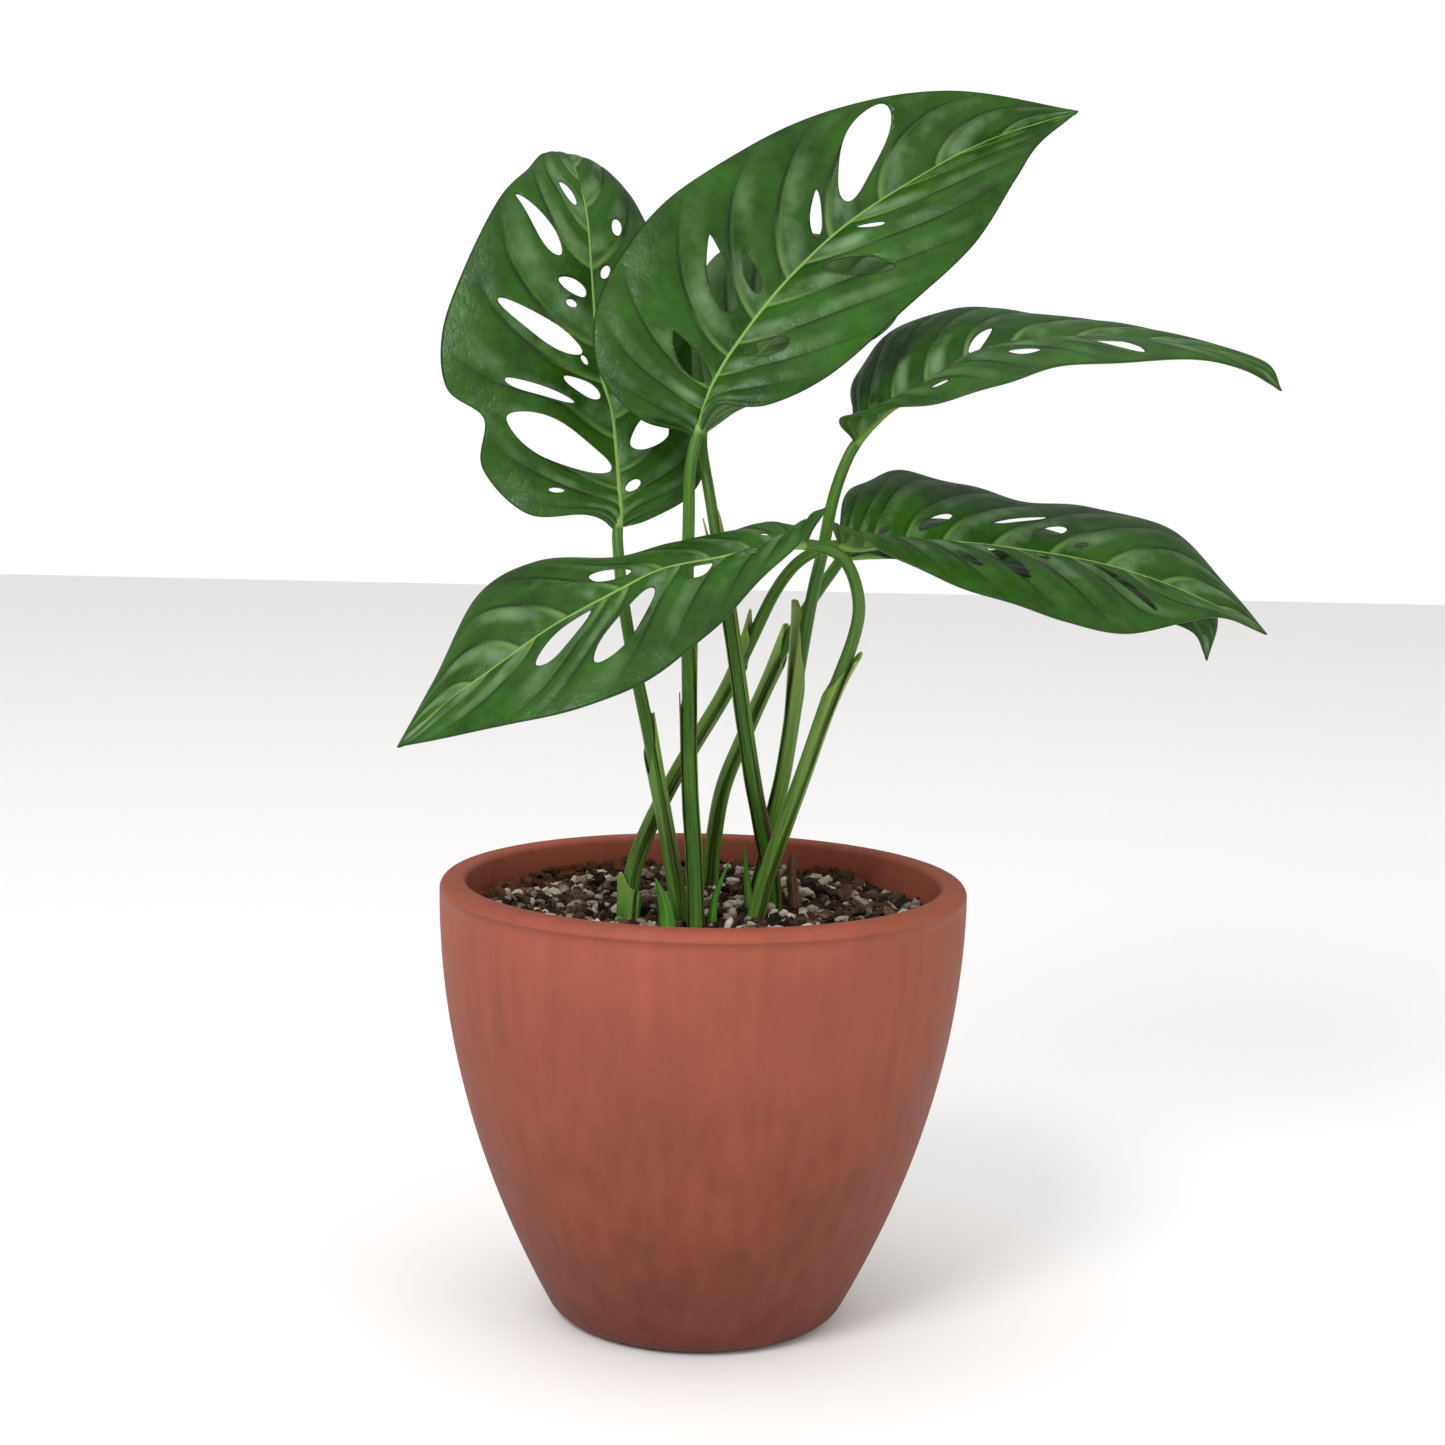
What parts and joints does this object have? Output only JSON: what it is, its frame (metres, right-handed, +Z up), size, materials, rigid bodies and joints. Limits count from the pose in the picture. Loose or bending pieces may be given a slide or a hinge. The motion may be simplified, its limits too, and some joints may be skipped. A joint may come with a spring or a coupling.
{
  "type": "potted monstera plant",
  "caption": "Young perforated-leaf monstera with arching petioles, planted in a bark and perlite mix in a round clay-coloured pot.",
  "frame": {"origin": "centre of the pot's underside", "axes": "+Z up; -Y towards the side with the broad front leaf; the long right-hand leaves reach towards +X"},
  "size_m": [0.269, 0.1722, 0.399],
  "materials": {
    "pot": "matte",
    "potting_mix": "matte",
    "leaf": "satin",
    "stem": "satin",
    "shoot": "satin",
    "dried_stem": "matte"
  },
  "bodies": {
    "root": {"pot": "pot", "potting_mix": "potting_mix", "leaf_back_left": "leaf", "leaf_front": "leaf", "leaf_right_upper": "leaf", "leaf_right_middle": "leaf", "leaf_left_lower": "leaf", "leaf_right_lower": "leaf", "leaf_behind_front": "leaf", "petiole_back_left": "stem", "petiole_front": "stem", "petiole_right_upper": "stem", "petiole_right_middle": "stem", "petiole_left_lower": "stem", "petiole_right_lower": "stem", "petiole_behind_front": "stem", "shoot_cone": "shoot", "shoot_curved": "shoot", "shoot_spike": "shoot", "dried_stem": "dried_stem"}
  },
  "joints": []
}
